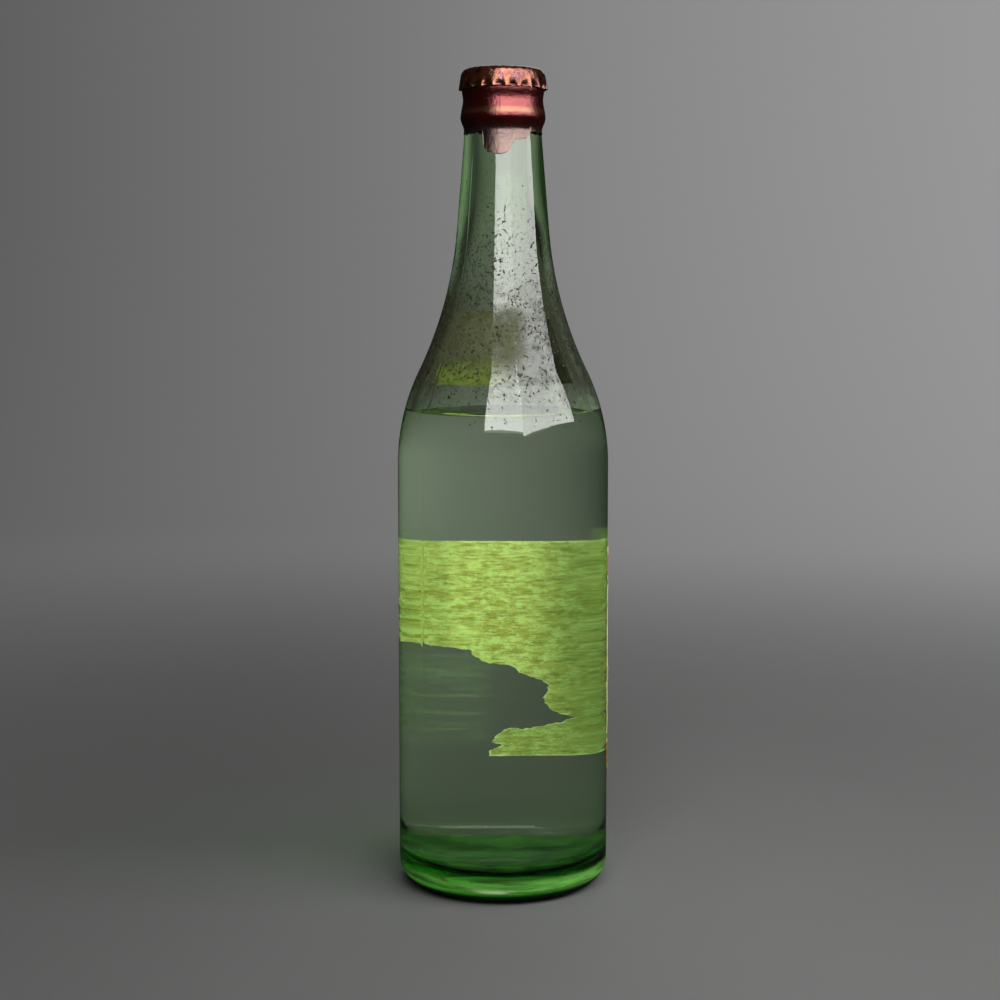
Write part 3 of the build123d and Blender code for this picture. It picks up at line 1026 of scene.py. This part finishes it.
def grime_material():
    """Dust and dark specks on the shoulder, thickest where the neck flares out and seen on edge, with
    one smudge at the front. Painted shade makes the dust darker on the right side."""
    material, tree = new_material("grime")
    x, y, z = place(tree)
    cloud = cloudy(tree, 6.0, 7.0, 0.76)
    facing = node(tree, "LayerWeight", {"Blend": 0.5})["Facing"]
    edge_on = maths(tree, "MULTIPLY_ADD", times(tree, facing, facing), 3.2, 0.42)
    haze = times(tree, between(tree, z, *HAZE_BAND), ramp(tree, cloud, 0.36, 0.66, 0.12, 0.62), edge_on)
    smudge = times(tree, between(tree, z, *SMUDGE_BAND), ramp(tree, x, 0.0105, 0.0015),
                   ramp(tree, y, -0.010, -0.015), ramp(tree, cloud, 0.34, 0.54, 0.50, 0.88))
    broad = times(tree, ramp(tree, z, 0.250, 0.190, 0.25, 1.0), ramp(tree, z, 0.146, 0.172),
                  ramp(tree, cloud, 0.40, 0.60, 0.55, 1.0))
    threshold = maths(tree, "MULTIPLY_ADD", broad, -0.178, 0.74)
    spots = maths(tree, "GREATER_THAN", cloudy(tree, 1.1, 3.0, 0.55), threshold)
    alpha = maths(tree, "MAXIMUM", greatest(tree, haze, smudge), times(tree, spots, 0.66), clamp=True)
    # Painted shade: the dust turns darker towards the right side.
    paint = painted(tree, (0.030, 0.027, 0.015), (0.012, 0.014, 0.008), x, 0.004, 0.014)
    paint = mixed(tree, smudge, paint, (0.046, 0.052, 0.026))
    paint = mixed(tree, spots, paint, (0.012, 0.010, 0.006))
    dusty = node(tree, "BsdfPrincipled", {"Base Color": paint, "Roughness": 0.9,
                                          "Specular IOR Level": 0.1})[0]
    clear = node(tree, "BsdfTransparent")[0]
    return finished(material, node(tree, "MixShader", {0: alpha, 1: clear, 2: dusty})[0])


def speck_material():
    """Dry dirt, brown to nearly black."""
    material, tree = new_material("dirt")
    tone = cloudy(tree, 2.5, 4.0, 0.7)
    paint = painted(tree, (0.020, 0.017, 0.010), (0.060, 0.050, 0.032), tone, 0.35, 0.65)
    bump = bumped(tree, tone, 0.5, 0.0001)
    return finished(material, node(tree, "BsdfPrincipled", {
        "Base Color": paint, "Roughness": 0.9, "Specular IOR Level": 0.1, "Normal": bump})[0])


def residue_material():
    """Thin streaks of glue left where the label tore away, fading out towards the film's sides."""
    material, tree = new_material("glue_residue")
    x, _, z = place(tree)
    streak = cloudy(tree, 5.0, 6.0, 0.7, (0.3, 0.3, 3.4))
    alpha = times(tree, ramp(tree, streak, 0.48, 0.66, 0.03, 0.2),
                  between(tree, x, *RESIDUE_ACROSS), between(tree, z, *RESIDUE_UP))
    glue = node(tree, "BsdfPrincipled", {"Base Color": (0.42, 0.42, 0.30), "Roughness": 0.8})[0]
    clear = node(tree, "BsdfTransparent")[0]
    return finished(material, node(tree, "MixShader", {0: alpha, 1: clear, 2: glue})[0])


# -------- stage, lamps and camera

STAGE_FLAT_R = 1050.0
STAGE_BEND = 550.0
STAGE_HIGH = 2300.0
STAGE_DROP = -0.05 * MM

# Soft boxes: name, bearing, width, height of the lower edge, radiance, and roll.
FRONT_BOXES = (("front_box", 1.7, 422, 316, 10.0, 1.5), ("right_box", 55.0, 696, 309, 8.4, -0.4))
FRONT_DISTANCE = 540
FRONT_TOP = 1100
BACK_BOX = ("back_box", 172.0, 430, 500, 3.6)
BACK_DISTANCE = 1000
BACK_TOP = 1500
APART = 10
DIMMED = 0.25

# Camera lengths are in millimetres of lens and sensor, and its place is in metres.
LENS = 68.4
SENSOR = 36.0
SHIFT = -0.003
EYE = (0.0, -0.619, 0.1872)
LOOK_DOWN = radians(5.6)


def stage_material():
    """Plain grey paper with painted shade darkening it towards its left, and painted light glowing from it,
    growing out towards its wall, strongest towards its right and fading out above about 0.6 m. Shiny
    surfaces see it darker than the eye does, like a room beyond the set."""
    material, tree = new_material("stage_paper")
    x, y, z = place(tree)
    grain = cloudy(tree, 60.0, 4.0)
    even = mixed(tree, grain, (0.088, 0.088, 0.088), (0.096, 0.096, 0.096))
    # Painted shade: the paper darkens towards its left.
    paint = mixed(tree, ramp(tree, x, 0.12, -0.16, 0.0, 0.8), even, (0.058, 0.058, 0.058))
    # Painted light: the paper glows, more towards its right and out towards its wall.
    side = node(tree, "MapRange", {0: x, 1: -0.9, 2: 0.9, 3: 0.02, 4: 0.32})[0]
    wall = times(tree, ramp(tree, from_axis(tree, x, y), 0.15, 1.06), ramp(tree, z, 0.80, 0.58), side)
    light = node(tree, "Emission", {0: (1, 1, 1), 1: wall})[0]
    matt = node(tree, "BsdfDiffuse", {"Color": paint})[0]
    seen = node(tree, "AddShader", {0: matt, 1: light})[0]
    dark = node(tree, "BsdfDiffuse", {"Color": (0.012, 0.012, 0.012)})[0]
    path = node(tree, "LightPath")
    reflected = maths(tree, "SUBTRACT", path["Is Glossy Ray"], path["Is Transmission Ray"], clamp=True)
    return finished(material, node(tree, "MixShader", {0: reflected, 1: seen, 2: dark})[0])


def studio_floor():
    """Floor that sweeps up into a wall all the way round."""
    bend = arc((STAGE_FLAT_R, STAGE_BEND), STAGE_BEND, -pi / 2, 0, 16)
    outline = joined([(0, 0), (STAGE_FLAT_R / 2, 0)],
                     line((STAGE_FLAT_R / 2, 0), (STAGE_FLAT_R, 0), 4), bend,
                     line(bend[-1], (bend[-1][0], STAGE_HIGH), 4))
    floor = lathe("studio_floor", outline, round_steps(96), lambda i, a: outline[i], stage_material())
    floor.location.z = STAGE_DROP


def panel(name, bearing, distance, wide, low, high, radiance, roll=0.0):
    """Soft box that faces the bottle. bearing is in degrees from -Y towards +X, and roll turns it about
    the way it faces."""
    lamp = bpy.data.lights.new(name, "AREA")
    lamp.shape = "RECTANGLE"
    lamp.size = wide * MM
    lamp.size_y = (high - low) * MM
    lamp.energy = radiance * pi * lamp.size * lamp.size_y
    lamp.color = (0.99, 0.982, 0.978)
    box = new_object(name, lamp)
    a = radians(bearing)
    box.location = Vector((sin(a) * distance, -cos(a) * distance, (low + high) / 2)) * MM
    inward = Vector((-sin(a), cos(a), 0.0))
    box.rotation_mode = "QUATERNION"
    box.rotation_quaternion = Quaternion(inward, radians(roll)) @ inward.to_track_quat("-Z", "Y")
    box.visible_camera = False
    return box


def lamps():
    """Soft boxes in front, to the right, and behind for the labelled side. Through glass the eye sees
    only dim copies of the first two. The one behind only lights, and its dim copy only reflects."""
    for name, bearing, wide, low, radiance, roll in FRONT_BOXES:
        box = panel(name, bearing, FRONT_DISTANCE, wide, low, FRONT_TOP, radiance, roll)
        box.visible_transmission = False
        copy = panel(name + "_inside", bearing, FRONT_DISTANCE - APART, wide, low, FRONT_TOP,
                     DIMMED * radiance, roll)
        copy.visible_diffuse = False
        copy.visible_glossy = False
    name, bearing, wide, low, radiance = BACK_BOX
    box = panel(name, bearing, BACK_DISTANCE, wide, low, BACK_TOP, radiance)
    box.visible_transmission = False
    box.visible_glossy = False
    sheen = panel("back_sheen", bearing, BACK_DISTANCE - APART, wide, low, BACK_TOP, DIMMED * radiance)
    sheen.visible_transmission = False
    sheen.visible_diffuse = False


def camera():
    """Camera at the photograph's viewing angle, a little above the bottle's shoulder."""
    lens = bpy.data.cameras.new("camera")
    lens.lens = LENS
    lens.sensor_width = SENSOR
    lens.shift_x = SHIFT
    lens.clip_start = 0.01
    eye = new_object("camera", lens)
    eye.location = EYE
    eye.rotation_euler = (radians(90) - LOOK_DOWN, 0.0, 0.0)
    bpy.context.scene.camera = eye


def studio():
    """Stage, lamps, dim room and colour handling."""
    scene = bpy.context.scene
    studio_floor()
    lamps()
    camera()
    world = bpy.data.worlds.new("room")
    world.use_nodes = True
    world.node_tree.nodes["Background"].inputs[0].default_value = (0.03, 0.03, 0.032, 1.0)
    scene.world = world
    scene.view_settings.view_transform = "Standard"
    scene.cycles.max_bounces = 28
    scene.cycles.transmission_bounces = 28
    scene.cycles.glossy_bounces = 8
    scene.cycles.transparent_max_bounces = 32


# -------- the scene

def cad_nodes():
    """Materials of the CAD nodes that stay in sight."""
    for name, material in (("crown_shell", tinplate_material()), ("cork_liner", cork_material())):
        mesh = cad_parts[name].data
        mesh.materials.clear()
        mesh.materials.append(material)


glass_bottle()
drink_liquid()
body_label()
neck_label()
neck_foil()
crown_foil()
film("shoulder_grime", GRIME_SPAN, 90, grime_material(), round_steps(ROUND_STEPS, SEAM_ANGLES))
dirt_specks()
torn_side = [radians(a) for a in range(RESIDUE_SIDES[0], RESIDUE_SIDES[1] + 1, 2)]
film("glue_residue", RESIDUE_SPAN, 30, residue_material(), torn_side)
cad_nodes()
studio()
